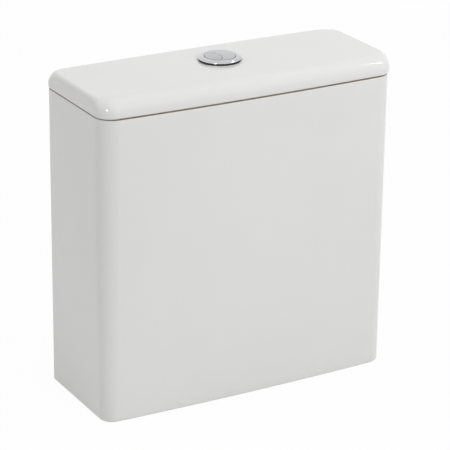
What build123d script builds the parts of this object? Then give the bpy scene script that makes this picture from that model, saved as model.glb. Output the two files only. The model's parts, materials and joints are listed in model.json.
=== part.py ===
from build123d import *
import math
import os

# A close-coupled toilet cistern in glazed ceramic, with a lid, a round two-part push button,
# a dual flush valve and a fill valve that enters from below.
# X runs to the right, -Y to the front, +Z up. The origin is the middle of the base.

# Ceramic tank
tank_width = 370.0
tank_depth = 145.0
tank_height = 358.0
front_bow = 4.0
base_width_share = 0.995
base_depth_share = 0.976
front_corner_top = 21.5
front_corner_base = 16.0
back_corner_top = 13.5
back_corner_base = 6.6
tank_wall = 9.0
back_flat_cut = 0.05
inner_corner_least = 9.0
floor_thickness = 12.0
skirt_height = 40.0
base_edge_radius = 3.0
rim_outer_radius = 1.2
rim_inner_radius = 2.0
cavity_floor_radius = 7.0

# Ceramic lid
lid_height = 22.0
lid_crown = 1.0
lid_edge_radius = 16.5
lid_side_overhang = 1.0
lid_back_inset = 0.5
lid_front_corner = 24.0
lid_back_corner = 19.0
lid_shell = 10.0
lid_lower_edge_radius = 3.0
lip_depth = 8.0
lip_width = 6.0
lip_clearance = 2.0
lid_cavity_radius = 6.0

# Places of the valves and the bolt holes on the floor
valve_setback = 68.0
bolt_spacing = 150.0
bolt_hole_radius = 6.5
valve_hole_radius = 32.0
inlet_inset = 67.0
inlet_hole_radius = 14.0

# Clearances, and one overrun for every cut
press_gap = 0.03
pin_gap = 0.06
slide_gap = 0.3
touch_gap = 0.3
open_gap = 1.0
overrun = 5.0

# Push button, heights counted from the top of the lid
bezel_radius = 24.3
bezel_edge_height = 2.3
bezel_inner_height = 5.0
bezel_bulge_in = 1.7
bezel_bulge_up = 2.2
bezel_lip_width = 0.7
bezel_lip_drop = 0.5
bezel_bore_radius = 18.15
barrel_radius = 20.2
barrel_length = 34.0
lid_hole_clearance = 0.8
button_clearance = 0.35
button_edge_height = 4.9
button_dome = 0.6
button_edge_radius = 0.6
button_split_radius = 20.0
button_split_gap = 0.5
button_travel = 8.0
boss_length = 6.0
boss_radius = 4.6
rod_radius = 3.0
rod_socket_depth = 4.0
rod_tip_drop = 72.2
rod_offset_x = 9.0
rod_offset_y = 5.0
rod_collar_radius = 4.5
rod_collar_height = 2.0
boss_floor_gap = 9.0
carrier_plate = 3.0
carrier_wall = 2.0
carrier_foot = 2.0
spring_wire = 0.9
spring_radius = 5.4
spring_turns = 6
gasket_thickness = 2.0
gasket_radius = 26.0
locknut_height = 8.0
locknut_radius = 26.0
locknut_lobe_radius = 3.0
locknut_lobes = 8

# Flush valve, fixed part
outlet_radius = 25.0
seat_bore_radius = 24.0
seat_bore_height = 10.0
tail_radius = 29.8
tail_length = 33.0
thread_depth = 0.9
thread_pitch = 2.3
base_washer_thickness = 3.0
base_washer_radius = 40.0
base_flange_radius = 41.0
base_flange_thickness = 5.0
seat_height = 7.0
seat_lip_width = 2.5
backnut_height = 11.0
backnut_radius = 38.0
backnut_lobe_radius = 4.0
backnut_lobes = 8
coupling_height = 26.0
coupling_top_radius = 45.0
coupling_base_radius = 38.0
coupling_edge_radius = 3.0
cage_radius = 41.0
cage_wall = 3.5
cage_height = 40.0
cage_plate = 4.0
cage_foot_height = 6.0
cage_windows = 6
cage_window_width = 24.0
cage_drain_radius = 3.0
cage_drains = 8
post_thickness = 4.0
post_width = 12.0
post_offset = 38.0
head_plate = 3.0
head_half_width = 20.0
cheek_thickness = 4.0
web_thickness = 3.0
cheek_half_width = 12.0
cheek_height = 12.0
cheek_top_radius = 4.0

# Lift levers, each pivoted across the middle from its own button rod
lever_thickness = 6.0
lever_side_gap = 0.5
lever_half_height = 3.5
lever_boss_radius = 4.8
lever_pivot_x = 6.0
lever_pivot_rise = 6.0
lever_load_arm = 24.0
lever_press_overhang = 3.0
dip_window_start = 4.5
dip_window_end = 16.0
pin_radius = 1.5
pin_head_radius = 2.6
pin_head_height = 1.2

# Flush valve, moving part
tube_radius = 14.0
tube_wall = 2.0
tube_head_gap = 7.6
spindle_lift = 12.4
tube_foot_height = 7.0
disc_radius = 27.0
disc_thickness = 4.0
seal_radius = 28.5
seal_thickness = 3.0
retainer_radius = 21.0
retainer_height = 5.5
retainer_chamfer = 2.0
full_float_radius = 30.0
full_float_share = 0.46
float_edge_radius = 2.5
float_wall = 2.0
float_top = 4.0
yoke_ring_radius = 18.0
yoke_ring_height = 8.0
yoke_ring_drop = 6.0
yoke_arm_width = 8.0
yoke_arm_thickness = 3.0
yoke_bracket_height = 4.0
yoke_cap_height = 3.5
yoke_cap_reach = 13.0
sleeve_wall = 2.0
sleeve_gap = 0.4
cage_float_gap = 18.0
float_sleeve_gap = 2.6
sleeve_yoke_gap = 14.6
sleeve_collar_radius = 20.0
sleeve_collar_height = 6.0
sleeve_ledge_height = 4.0
sleeve_ledge_radius = 18.5
half_float_radius = 30.0

# Fill valve
inlet_thread_radius = 10.48
inlet_bore_radius = 6.0
inlet_thread_length = 36.0
inlet_chamfer = 1.0
thread_relief = 0.8
inlet_flange_radius = 17.0
inlet_flange_thickness = 4.0
shank_washer_radius = 19.0
shank_washer_thickness = 4.0
fill_nut_flats = 32.0
fill_nut_height = 8.0
fill_nut_washer_radius = 18.5
fill_nut_washer_height = 2.0
riser_radius = 10.0
riser_drop = 36.0
filter_length = 26.0
filter_flange_height = 2.0
filter_wall = 1.0
filter_gap = 0.6
head_socket_radius = 14.0
head_socket_height = 12.0
fill_head_radius = 17.0
fill_head_height = 24.0
spout_reach = 31.0
spout_width = 14.0
spout_height = 10.0
spout_rise = 2.0
spout_bore_radius = 4.0
discharge_radius = 6.0
discharge_wall = 1.5
discharge_floor_gap = 12.0
diaphragm_thickness = 2.0
diaphragm_inset = 1.0
pilot_bore_radius = 1.5
fill_cap_height = 11.0
fill_cap_radius = 17.5
fill_cap_edge_radius = 1.5
fill_cap_ribs = 18
fill_cap_rib_radius = 0.8
pilot_radius = 2.5
float_pivot_offset = 13.0
float_pivot_rise = 7.0
ear_thickness = 3.0
ear_half_width = 3.5
float_lever_width = 6.0
float_lever_half_height = 2.0
float_lever_boss_radius = 3.2
float_lever_overhang = 5.0
float_rod_offset = 27.0
float_rod_radius = 2.0
float_rod_socket = 18.0
float_travel = 14.0
cup_radius = 24.0
cup_wall = 2.0
cup_height = 64.0
cup_stop_gap = 8.0
cup_gap = 0.6
cup_lug_radius = 4.5
cup_lug_height = 14.0
clip_radius = 4.2
clip_height = 3.0

# Places and heights worked out from the sizes above
back_y = (tank_depth + front_bow) / 2
front_y = back_y - tank_depth
valve_y = back_y - valve_setback
inlet_x = tank_width / 2 - inlet_inset
floor_base = skirt_height
floor_top = skirt_height + floor_thickness
lid_top = tank_height + lid_height + lid_crown
lid_under = lid_top - lid_shell
lid_hole_radius = barrel_radius + lid_hole_clearance
lid_wall = lid_side_overhang + tank_wall + lip_clearance + lip_width
button_radius = bezel_bore_radius - button_clearance
washer_top = floor_top + base_washer_thickness
flange_top = washer_top + base_flange_thickness
seat_top = flange_top + seat_height
cage_top = flange_top + cage_height
tail_tip = floor_base - tail_length

# The rods hang from the lid, and the levers, the head and the overflow's rim follow them
rod_tip_z = lid_top - rod_tip_drop
pivot_z = rod_tip_z - touch_gap - lever_half_height
head_top = pivot_z - lever_pivot_rise
head_low = head_top - head_plate
press_arm = rod_offset_x + lever_pivot_x
cap_low = rod_tip_z
yoke_arm_x = lever_pivot_x + lever_load_arm + lever_half_height + open_gap / 2
tube_bore_radius = tube_radius - tube_wall
tube_low = seat_top - tube_foot_height
tube_high = head_low - tube_head_gap - spindle_lift
disc_low = seat_top + seal_thickness

# The two floats share the tube between the cage and the yoke, with room to rise one by one
yoke_low = tube_high - yoke_ring_drop - yoke_ring_height
sleeve_high = yoke_low - sleeve_yoke_gap - spindle_lift
full_float_low = cage_top + cage_float_gap
float_stretch = sleeve_high - full_float_low - float_sleeve_gap - spindle_lift
full_float_high = full_float_low + float_stretch * full_float_share
sleeve_low = full_float_high + float_sleeve_gap + spindle_lift

# The fill valve stands a set drop below the overflow's rim
inlet_flange_low = floor_top + shank_washer_thickness
inlet_flange_top = inlet_flange_low + inlet_flange_thickness
riser_high = tube_high - riser_drop
socket_low = riser_high - head_socket_height
spout_low = riser_high + spout_rise
discharge_low = floor_top + discharge_floor_gap
fill_head_top = riser_high + fill_head_height
fill_cap_low = fill_head_top + diaphragm_thickness
fill_cap_top = fill_cap_low + fill_cap_height
float_pivot_z = fill_cap_top + float_pivot_rise
cup_high = socket_low - cup_stop_gap - float_travel


def turning_plane(x, y):
    """A plane for half sections: its first axis is the radius, its second is the height."""
    return Plane(origin=(x, y, 0), x_dir=(1, 0, 0), z_dir=(0, -1, 0))


def upright(x, y):
    return Axis((x, y, 0), (0, 0, 1))


def make_ring(x, y, inner_radius, outer_radius, low, high):
    with BuildPart() as ring:
        with BuildSketch(Plane(origin=(x, y, low))):
            Circle(outer_radius)
            Circle(inner_radius, mode=Mode.SUBTRACT)
        extrude(amount=high - low)
    return ring


def make_lobed_nut(x, y, bore_radius, radius, lobe_radius, lobes, low, high):
    """A plastic nut with round finger lobes about its rim."""
    with BuildPart() as nut:
        with BuildSketch(Plane(origin=(x, y, low))):
            Circle(radius)
            with PolarLocations(radius, lobes):
                Circle(lobe_radius)
            Circle(bore_radius, mode=Mode.SUBTRACT)
        extrude(amount=high - low)
    return nut


def rounded_outline(half_width, back, front, bow, front_radius, back_radius):
    """The plan of the tank and the lid: straight back and sides, and a front that bows out."""
    with BuildSketch() as plan:
        with BuildLine():
            Polyline((-half_width, front), (-half_width, back), (half_width, back), (half_width, front))
            ThreePointArc((half_width, front), (0, front - bow), (-half_width, front))
        make_face()
        fillet(plan.vertices().group_by(Axis.Y)[0], front_radius)
        fillet(plan.vertices().group_by(Axis.Y)[-1], back_radius)
    return plan.sketch


def tank_outline(height, inset):
    """The tank's plan at a height, drawn in from the outer face by an inset."""
    share = height / tank_height

    def at_height(base, top):
        return base + (top - base) * share

    half_width = at_height(tank_width * base_width_share, tank_width) / 2
    front = at_height(back_y - tank_depth * base_depth_share, front_y)
    front_radius = max(at_height(front_corner_base, front_corner_top) - inset, inner_corner_least)
    back_radius = max(at_height(back_corner_base, back_corner_top) - inset, inner_corner_least)
    back = back_y + back_flat_cut - inset
    return rounded_outline(half_width - inset, back, front + inset, front_bow, front_radius, back_radius)


def lid_outline(inset):
    """The lid's plan, drawn in from its outer edge by an inset."""
    return rounded_outline(
        tank_width / 2 + lid_side_overhang - inset,
        back_y - lid_back_inset - inset,
        front_y + inset,
        front_bow,
        max(lid_front_corner - inset, inner_corner_least),
        max(lid_back_corner - inset, inner_corner_least),
    )


def tank_loft(low, high, inset):
    """The space between two heights inside the tank's walls."""
    with BuildPart() as block:
        with BuildSketch(Plane.XY.offset(low)):
            add(tank_outline(low, inset))
        with BuildSketch(Plane.XY.offset(high)):
            add(tank_outline(high, inset))
        loft(ruled=True)
    return block


# Tank: tapering walls, a floor set up inside a skirt, and holes for the valves and two bolts.
# The back is cut flat after the rounding, so that it lies true against the wall.
cavity = tank_loft(floor_top, tank_height, tank_wall)
with BuildPart() as cavity_rounded:
    add(cavity.part)
    fillet(cavity_rounded.faces().sort_by(Axis.Z)[0].edges(), cavity_floor_radius)

recess = tank_loft(0, floor_base, tank_wall)
shell = tank_loft(0, tank_height, 0)

with BuildPart() as cistern_tank:
    add(shell.part)
    fillet(cistern_tank.faces().sort_by(Axis.Z)[0].edges(), base_edge_radius)
    fillet(cistern_tank.faces().sort_by(Axis.Z)[-1].edges(), rim_outer_radius)
    split(bisect_by=Plane.XZ.offset(-back_y))
    add(cavity_rounded.part, mode=Mode.SUBTRACT)
    add(recess.part, mode=Mode.SUBTRACT)
    rim = cistern_tank.faces().sort_by(Axis.Z)[-1]
    fillet(rim.inner_wires()[0].edges(), rim_inner_radius)
    with Locations((0, valve_y, floor_top)):
        Hole(valve_hole_radius, depth=floor_thickness + overrun)
    with Locations((inlet_x, valve_y, floor_top)):
        Hole(inlet_hole_radius, depth=floor_thickness + overrun)
    with Locations((0, valve_y, floor_top)):
        with GridLocations(bolt_spacing, 0, 2, 1):
            Hole(bolt_hole_radius, depth=floor_thickness + overrun)

# Lid: crowned top with a large rounded edge, hollow below, with a lip that drops into the tank
with BuildPart() as lid_crown_block:
    with BuildSketch(Plane.XZ):
        with BuildLine():
            reach = tank_width / 2 + lid_side_overhang
            edge_z = lid_top - lid_crown
            Polyline((-reach, edge_z), (-reach, tank_height), (reach, tank_height), (reach, edge_z))
            ThreePointArc((reach, edge_z), (0, lid_top), (-reach, edge_z))
        make_face()
    extrude(amount=tank_depth, both=True)

with BuildPart() as lid_cavity:
    with BuildSketch(Plane.XY.offset(tank_height)):
        add(lid_outline(lid_wall))
    extrude(amount=lid_under - tank_height)
    fillet(lid_cavity.faces().sort_by(Axis.Z)[-1].edges(), lid_cavity_radius)

with BuildPart() as cistern_lid:
    with BuildSketch(Plane.XY.offset(tank_height)):
        add(lid_outline(0))
    extrude(amount=lid_height + lid_crown)
    add(lid_crown_block.part, mode=Mode.INTERSECT)
    fillet(cistern_lid.faces().sort_by(Axis.Z)[-1].edges(), lid_edge_radius)
    fillet(cistern_lid.faces().sort_by(Axis.Z)[0].edges(), lid_lower_edge_radius)
    with BuildSketch(Plane.XY.offset(tank_height - lip_depth)):
        add(lid_outline(lid_wall - lip_width))
        add(lid_outline(lid_wall), mode=Mode.SUBTRACT)
    extrude(amount=lip_depth + overrun)
    add(lid_cavity.part, mode=Mode.SUBTRACT)
    with Locations((0, valve_y, lid_top)):
        Hole(lid_hole_radius, depth=lid_shell + overrun)

# Push button bezel: a rounded ring on the lid with a barrel down through it
with BuildPart() as button_bezel:
    with BuildSketch(turning_plane(0, valve_y)):
        with BuildLine():
            crest_radius = bezel_bore_radius + bezel_lip_width
            crest_z = lid_top + bezel_inner_height
            edge_z = lid_top + bezel_edge_height
            Line((bezel_radius, lid_top), (bezel_radius, edge_z))
            ThreePointArc(
                (bezel_radius, edge_z),
                (bezel_radius - bezel_bulge_in, edge_z + bezel_bulge_up),
                (crest_radius, crest_z),
            )
            Polyline(
                (crest_radius, crest_z),
                (bezel_bore_radius, crest_z - bezel_lip_drop),
                (bezel_bore_radius, lid_top - barrel_length),
                (barrel_radius, lid_top - barrel_length),
                (barrel_radius, lid_top),
                (bezel_radius, lid_top),
            )
        make_face()
    revolve(axis=upright(0, valve_y))

gasket_low = lid_under - gasket_thickness
bezel_gasket = make_ring(0, valve_y, barrel_radius + press_gap, gasket_radius, gasket_low, lid_under)
bezel_locknut = make_lobed_nut(
    0, valve_y, barrel_radius + press_gap, locknut_radius, locknut_lobe_radius,
    locknut_lobes, gasket_low - locknut_height, gasket_low,
)

# Carrier: clips into the barrel, seats the springs and guides the rods
carrier_top = lid_top - boss_length - button_travel - boss_floor_gap
carrier_low = lid_top - barrel_length
rod_places = {
    "full": (rod_offset_x, valve_y - rod_offset_y),
    "half": (-rod_offset_x, valve_y + rod_offset_y),
}
with BuildPart() as button_carrier:
    with BuildSketch(turning_plane(0, valve_y)):
        with BuildLine():
            carrier_radius = bezel_bore_radius - press_gap
            Polyline(
                (0, carrier_top),
                (carrier_radius, carrier_top),
                (carrier_radius, carrier_low),
                (barrel_radius, carrier_low),
                (barrel_radius, carrier_low - carrier_foot),
                (carrier_radius - carrier_wall, carrier_low - carrier_foot),
                (carrier_radius - carrier_wall, carrier_top - carrier_plate),
                (0, carrier_top - carrier_plate),
                close=True,
            )
        make_face()
    revolve(axis=upright(0, valve_y))
    for x, y in rod_places.values():
        with Locations((x, y, carrier_top)):
            Hole(rod_radius + slide_gap, depth=carrier_plate + overrun)

# Button blank: a domed plug, split by an arc into a lens and a crescent
with BuildPart() as button_blank:
    with BuildSketch(turning_plane(0, valve_y)) as blank_section:
        with BuildLine():
            edge_z = lid_top + button_edge_height
            dome_z = edge_z + button_dome
            shoulder = button_radius / 2
            Polyline((button_radius, edge_z), (button_radius, lid_top), (0, lid_top), (0, dome_z))
            ThreePointArc(
                (0, dome_z),
                (shoulder, dome_z - button_dome * (shoulder / button_radius) ** 2),
                (button_radius, edge_z),
            )
        make_face()
        corner = blank_section.vertices().group_by(Axis.X)[-1].sort_by(Axis.Z)[-1]
        fillet(corner, button_edge_radius)
    revolve(axis=upright(0, valve_y))


def add_boss(x, y):
    """A boss under a button with a socket for its rod."""
    with BuildSketch(Plane(origin=(x, y, lid_top - boss_length))) as boss:
        Circle(boss_radius)
    extrude(boss.sketch, amount=boss_length)
    with Locations((x, y, lid_top - boss_length)):
        Hole(rod_radius + press_gap, depth=boss_length - rod_socket_depth / 2)


with BuildPart() as lens_cutter:
    with BuildSketch(Plane(origin=(-button_split_radius, valve_y, lid_top - overrun))):
        Circle(button_split_radius - button_split_gap / 2)
    extrude(amount=button_edge_height + 2 * overrun)

with BuildPart() as crescent_cutter:
    with BuildSketch(Plane(origin=(-button_split_radius, valve_y, lid_top - overrun))):
        Circle(button_split_radius + button_split_gap / 2)
    extrude(amount=button_edge_height + 2 * overrun)

with BuildPart() as full_flush_button:
    add(button_blank.part)
    add(crescent_cutter.part, mode=Mode.SUBTRACT)
    add_boss(*rod_places["full"])

with BuildPart() as half_flush_button:
    add(button_blank.part)
    add(lens_cutter.part, mode=Mode.INTERSECT)
    add_boss(*rod_places["half"])


def make_button_rod(place):
    """A rod screwed into its button, with a collar that stops it under the carrier."""
    x, y = place
    rod_top = lid_top - boss_length + rod_socket_depth / 2
    collar_top = carrier_top - carrier_plate - slide_gap
    with BuildPart() as rod:
        with BuildSketch(turning_plane(x, y)):
            with BuildLine():
                Polyline(
                    (0, rod_tip_z),
                    (0, rod_top),
                    (rod_radius, rod_top),
                    (rod_radius, collar_top),
                    (rod_collar_radius, collar_top),
                    (rod_collar_radius, collar_top - rod_collar_height),
                    (rod_radius, collar_top - rod_collar_height),
                    (rod_radius, rod_tip_z + rod_radius),
                )
                RadiusArc((rod_radius, rod_tip_z + rod_radius), (0, rod_tip_z), rod_radius)
            make_face()
        revolve(axis=upright(x, y))
    return rod


full_flush_rod = make_button_rod(rod_places["full"])
half_flush_rod = make_button_rod(rod_places["half"])


def helix_point(x, y, low, pitch, turn_share):
    """A point on the spring's centre line and its direction there."""
    angle = 2 * math.pi * turn_share
    outward = Vector(math.cos(angle), math.sin(angle), 0)
    point = Vector(x, y, low + pitch * turn_share) + outward * spring_radius
    rise = pitch / (2 * math.pi)
    direction = Vector(-spring_radius * math.sin(angle), spring_radius * math.cos(angle), rise).normalized()
    return point, direction


def make_spring(place):
    """A coil on the carrier round the boss, in quarter turns of two arcs each."""
    x, y = place
    low = carrier_top + spring_wire / 2 + touch_gap / 2
    high = lid_top - spring_wire / 2 - touch_gap / 2
    pitch = (high - low) / spring_turns
    quarters = [helix_point(x, y, low, pitch, step / 4) for step in range(4 * spring_turns + 1)]
    with BuildPart() as spring:
        with BuildLine() as path:
            for (start, leave), (end, arrive) in zip(quarters, quarters[1:]):
                chord = end - start
                both = leave + arrive
                bend = 2 * (1 - leave.dot(arrive))
                reach = (math.sqrt(chord.dot(both) ** 2 + bend * chord.dot(chord)) - chord.dot(both)) / bend
                before = start + leave * reach
                after = end - arrive * reach
                TangentArc(start, (before + after) / 2, tangent=leave)
                TangentArc((before + after) / 2, end, tangent=after - before)
        start, leave = quarters[0]
        with BuildSketch(Plane(origin=start, z_dir=leave)):
            Circle(spring_wire / 2)
        sweep(path=path.wires()[0])
    return spring


full_button_spring = make_spring(rod_places["full"])
half_button_spring = make_spring(rod_places["half"])

# Valve base: outlet tail with a thread, a flange over the floor and the seat for the seal
thread_turns = int((tail_length - thread_pitch) / thread_pitch)
with BuildPart() as valve_base:
    with BuildSketch(turning_plane(0, valve_y)):
        with BuildLine():
            root_radius = tail_radius - thread_depth
            ridges = []
            for turn in range(thread_turns):
                ridge_z = tail_tip + turn * thread_pitch
                ridges += [(root_radius, ridge_z), (tail_radius, ridge_z + thread_pitch / 2)]
            Polyline(
                (outlet_radius, tail_tip),
                *ridges,
                (root_radius, tail_tip + thread_turns * thread_pitch),
                (root_radius, washer_top),
                (base_flange_radius, washer_top),
                (base_flange_radius, flange_top),
                (tail_radius, flange_top),
                (seat_bore_radius + seat_lip_width, seat_top),
                (seat_bore_radius, seat_top),
                (seat_bore_radius, seat_top - seat_bore_height),
                (outlet_radius, seat_top - seat_bore_height),
                close=True,
            )
        make_face()
    revolve(axis=upright(0, valve_y))

base_washer = make_ring(0, valve_y, tail_radius + press_gap, base_washer_radius, floor_top, washer_top)
valve_backnut = make_lobed_nut(
    0, valve_y, tail_radius + press_gap, backnut_radius, backnut_lobe_radius,
    backnut_lobes, floor_base - backnut_height, floor_base,
)

# Coupling gasket: a thick rubber ring round the tail that seals against the pan
coupling_top = floor_base - backnut_height
coupling_low = coupling_top - coupling_height
with BuildPart() as coupling_gasket:
    with BuildSketch(turning_plane(0, valve_y)):
        with BuildLine():
            Polyline(
                (tail_radius + press_gap, coupling_low),
                (coupling_base_radius, coupling_low),
                (coupling_top_radius, coupling_top),
                (tail_radius + press_gap, coupling_top),
                close=True,
            )
        make_face()
    revolve(axis=upright(0, valve_y))
    widest = coupling_gasket.edges().filter_by(GeomType.CIRCLE).sort_by(SortBy.RADIUS)[-2:]
    fillet(widest, coupling_edge_radius)

# Valve cage: windows for the water round the seat, a guide plate, and two posts for the head
with BuildPart() as valve_cage:
    with BuildSketch(Plane(origin=(0, valve_y, flange_top))):
        Circle(cage_radius)
        Circle(cage_radius - cage_wall, mode=Mode.SUBTRACT)
    extrude(amount=cage_height)
    with BuildSketch(Plane(origin=(0, valve_y, cage_top - cage_plate))):
        Circle(cage_radius)
        Circle(tube_radius + slide_gap, mode=Mode.SUBTRACT)
        with PolarLocations((cage_radius + tube_radius) / 2, cage_drains):
            Circle(cage_drain_radius, mode=Mode.SUBTRACT)
    extrude(amount=cage_plate)
    with BuildSketch(Plane(origin=(0, valve_y, flange_top + cage_foot_height))):
        with PolarLocations(cage_radius, cage_windows):
            Rectangle(2 * cage_wall + overrun, cage_window_width)
    extrude(amount=cage_height - cage_foot_height - cage_plate - cage_wall, mode=Mode.SUBTRACT)
    with BuildSketch(Plane(origin=(0, valve_y, cage_top))):
        with GridLocations(0, 2 * post_offset, 1, 2):
            Rectangle(post_width, post_thickness)
    extrude(amount=head_low - cage_top)

# Valve head: a bridge on the posts with three cheeks that hold the lever pins
lever_y = {"full": valve_y - rod_offset_y, "half": valve_y + rod_offset_y}
outer_cheek = rod_offset_y + lever_thickness / 2 + lever_side_gap + cheek_thickness / 2
cheek_span = outer_cheek + cheek_thickness / 2
with BuildPart() as valve_head:
    with BuildSketch(Plane(origin=(0, valve_y, head_low))):
        Rectangle(2 * head_half_width, 2 * cheek_span)
        Rectangle(post_width, 2 * post_offset + post_thickness)
        for side, centre_y in ((1, -rod_offset_y), (-1, rod_offset_y)):
            with Locations((side * (dip_window_end - dip_window_start) / 2, centre_y)):
                dip_width = lever_thickness + 2 * lever_side_gap
                Rectangle(dip_window_end + dip_window_start, dip_width, mode=Mode.SUBTRACT)
    extrude(amount=head_plate)
    with BuildSketch(Plane(origin=(0, valve_y, head_top))):
        with GridLocations(0, 2 * outer_cheek, 1, 2):
            Rectangle(2 * cheek_half_width, cheek_thickness)
        Rectangle(2 * cheek_half_width, web_thickness)
    extrude(amount=cheek_height)
    fillet(valve_head.edges().filter_by(Axis.Y).group_by(Axis.Z)[-1], cheek_top_radius)
    for side in (-1, 1):
        pivot = (side * lever_pivot_x, valve_y, pivot_z)
        with BuildSketch(Plane(origin=pivot, z_dir=(0, side, 0))) as pin_hole:
            Circle(pin_radius + press_gap)
        extrude(pin_hole.sketch, amount=cheek_span, mode=Mode.SUBTRACT)
        extrude(pin_hole.sketch, amount=-web_thickness / 2, mode=Mode.SUBTRACT)


def make_pin(x, y, z, side, length):
    """A plain pin along Y from a head at its outer end; side is the way from the tip to the head."""
    with BuildPart() as pin:
        with BuildSketch(Plane(origin=(x, y, z), z_dir=(0, side, 0))):
            Circle(pin_radius)
        extrude(amount=-length)
        with BuildSketch(Plane(origin=(x, y, z), z_dir=(0, side, 0))):
            Circle(pin_head_radius)
        extrude(amount=pin_head_height)
    return pin


lever_pin_length = cheek_span + web_thickness / 2
full_lever_pin = make_pin(-lever_pivot_x, valve_y - cheek_span, pivot_z, -1, lever_pin_length)
half_lever_pin = make_pin(lever_pivot_x, valve_y + cheek_span, pivot_z, 1, lever_pin_length)


def make_lift_lever(side, y):
    """A rocking lever; side is the way from its pivot to the end that lifts."""
    press_end = press_arm + lever_press_overhang
    with BuildPart() as lever:
        pivot = (side * lever_pivot_x, y, pivot_z)
        with BuildSketch(Plane(origin=pivot, x_dir=(1, 0, 0), z_dir=(0, -1, 0))):
            with Locations((side * (lever_load_arm - press_end) / 2, 0)):
                SlotCenterToCenter(lever_load_arm + press_end, 2 * lever_half_height)
            Circle(lever_boss_radius)
            Circle(pin_radius + pin_gap, mode=Mode.SUBTRACT)
        extrude(amount=lever_thickness / 2, both=True)
    return lever


full_lift_lever = make_lift_lever(-1, lever_y["full"])
half_lift_lever = make_lift_lever(1, lever_y["half"])

# Overflow tube: the moving spindle of the valve, with a disc over the seat
with BuildPart() as overflow_tube:
    with BuildSketch(turning_plane(0, valve_y)):
        with BuildLine():
            Polyline(
                (tube_bore_radius, tube_low),
                (tube_radius, tube_low),
                (tube_radius, disc_low),
                (disc_radius, disc_low),
                (disc_radius, disc_low + disc_thickness),
                (tube_radius, disc_low + disc_thickness),
                (tube_radius, tube_high),
                (tube_bore_radius, tube_high),
                close=True,
            )
        make_face()
    revolve(axis=upright(0, valve_y))

flush_seal = make_ring(0, valve_y, tube_radius + press_gap, seal_radius, seat_top, disc_low)

with BuildPart() as seal_retainer:
    with BuildSketch(Plane(origin=(0, valve_y, seat_top - retainer_height))):
        Circle(retainer_radius)
        Circle(tube_radius + press_gap, mode=Mode.SUBTRACT)
    extrude(amount=retainer_height)
    outer_base = seal_retainer.faces().sort_by(Axis.Z)[0].outer_wire().edges()
    chamfer(outer_base, retainer_chamfer)


def make_float(inner_radius, outer_radius, low, high):
    """A ring float: an air bell, open below, with a rounded top edge."""
    with BuildPart() as ring_float:
        with BuildSketch(Plane(origin=(0, valve_y, low))):
            Circle(outer_radius)
            Circle(inner_radius, mode=Mode.SUBTRACT)
        extrude(amount=high - low)
        fillet(ring_float.faces().sort_by(Axis.Z)[-1].outer_wire().edges(), float_edge_radius)
        with BuildSketch(Plane(origin=(0, valve_y, low))):
            Circle(outer_radius - float_wall)
            Circle(inner_radius + float_wall, mode=Mode.SUBTRACT)
        extrude(amount=high - low - float_top, mode=Mode.SUBTRACT)
    return ring_float


full_flush_float = make_float(
    tube_radius + press_gap, full_float_radius, full_float_low, full_float_high
)


def add_lift_arm(side, y, inner_radius, low):
    """An arm from a ring out past the lever's end and up over it; side is -1 or 1 along X."""
    outer_x = yoke_arm_x + yoke_arm_thickness
    with BuildSketch(turning_plane(0, y)) as arm:
        with BuildLine():
            Polyline(
                (side * inner_radius, low),
                (side * outer_x, low),
                (side * outer_x, cap_low + yoke_cap_height),
                (side * (outer_x - yoke_cap_reach), cap_low + yoke_cap_height),
                (side * (outer_x - yoke_cap_reach), cap_low),
                (side * yoke_arm_x, cap_low),
                (side * yoke_arm_x, low + yoke_bracket_height),
                (side * inner_radius, low + yoke_bracket_height),
                close=True,
            )
        make_face()
    extrude(arm.sketch, amount=yoke_arm_width / 2, both=True)


# Lift yoke: clamped round the tube, it hangs on the full flush lever
with BuildPart() as lift_yoke:
    with BuildSketch(Plane(origin=(0, valve_y, yoke_low))):
        Circle(yoke_ring_radius)
    extrude(amount=yoke_ring_height)
    add_lift_arm(-1, lever_y["full"], tube_radius, yoke_low)
    with Locations((0, valve_y, yoke_low)):
        Hole(tube_radius + press_gap, depth=yoke_ring_height + overrun)

# Half flush sleeve: slides on the tube, carries its float and hangs on the half flush lever
sleeve_bore = tube_radius + sleeve_gap
sleeve_radius = sleeve_bore + sleeve_wall
collar_low = sleeve_high - sleeve_collar_height
with BuildPart() as half_flush_sleeve:
    with BuildSketch(Plane(origin=(0, valve_y, sleeve_low))):
        Circle(sleeve_radius)
    extrude(amount=sleeve_high - sleeve_low)
    with BuildSketch(Plane(origin=(0, valve_y, sleeve_low))):
        Circle(sleeve_ledge_radius)
    extrude(amount=sleeve_ledge_height)
    with BuildSketch(Plane(origin=(0, valve_y, collar_low))):
        Circle(sleeve_collar_radius)
    extrude(amount=sleeve_collar_height)
    add_lift_arm(1, lever_y["half"], tube_radius, collar_low)
    with Locations((0, valve_y, sleeve_high)):
        Hole(sleeve_bore, depth=sleeve_high - sleeve_low + overrun)

half_flush_float = make_float(
    sleeve_radius + press_gap, half_float_radius, sleeve_low + sleeve_ledge_height, collar_low
)

# Fill valve riser: inlet thread below the floor, a flange on its washer and the tube above
inlet_low = floor_base - inlet_thread_length
nut_low = floor_base - fill_nut_washer_height - fill_nut_height
with BuildPart() as fill_riser:
    with BuildSketch(turning_plane(inlet_x, valve_y)):
        with BuildLine():
            Polyline(
                (inlet_bore_radius, inlet_low),
                (inlet_thread_radius - inlet_chamfer, inlet_low),
                (inlet_thread_radius, inlet_low + inlet_chamfer),
                (inlet_thread_radius, nut_low - thread_relief),
                (inlet_thread_radius - thread_relief, nut_low - thread_relief),
                (inlet_thread_radius - thread_relief, nut_low),
                (inlet_thread_radius, nut_low),
                (inlet_thread_radius, inlet_flange_low),
                (inlet_flange_radius, inlet_flange_low),
                (inlet_flange_radius, inlet_flange_top),
                (riser_radius, inlet_flange_top),
                (riser_radius, riser_high),
                (inlet_bore_radius, riser_high),
                close=True,
            )
        make_face()
    revolve(axis=upright(inlet_x, valve_y))

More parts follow.
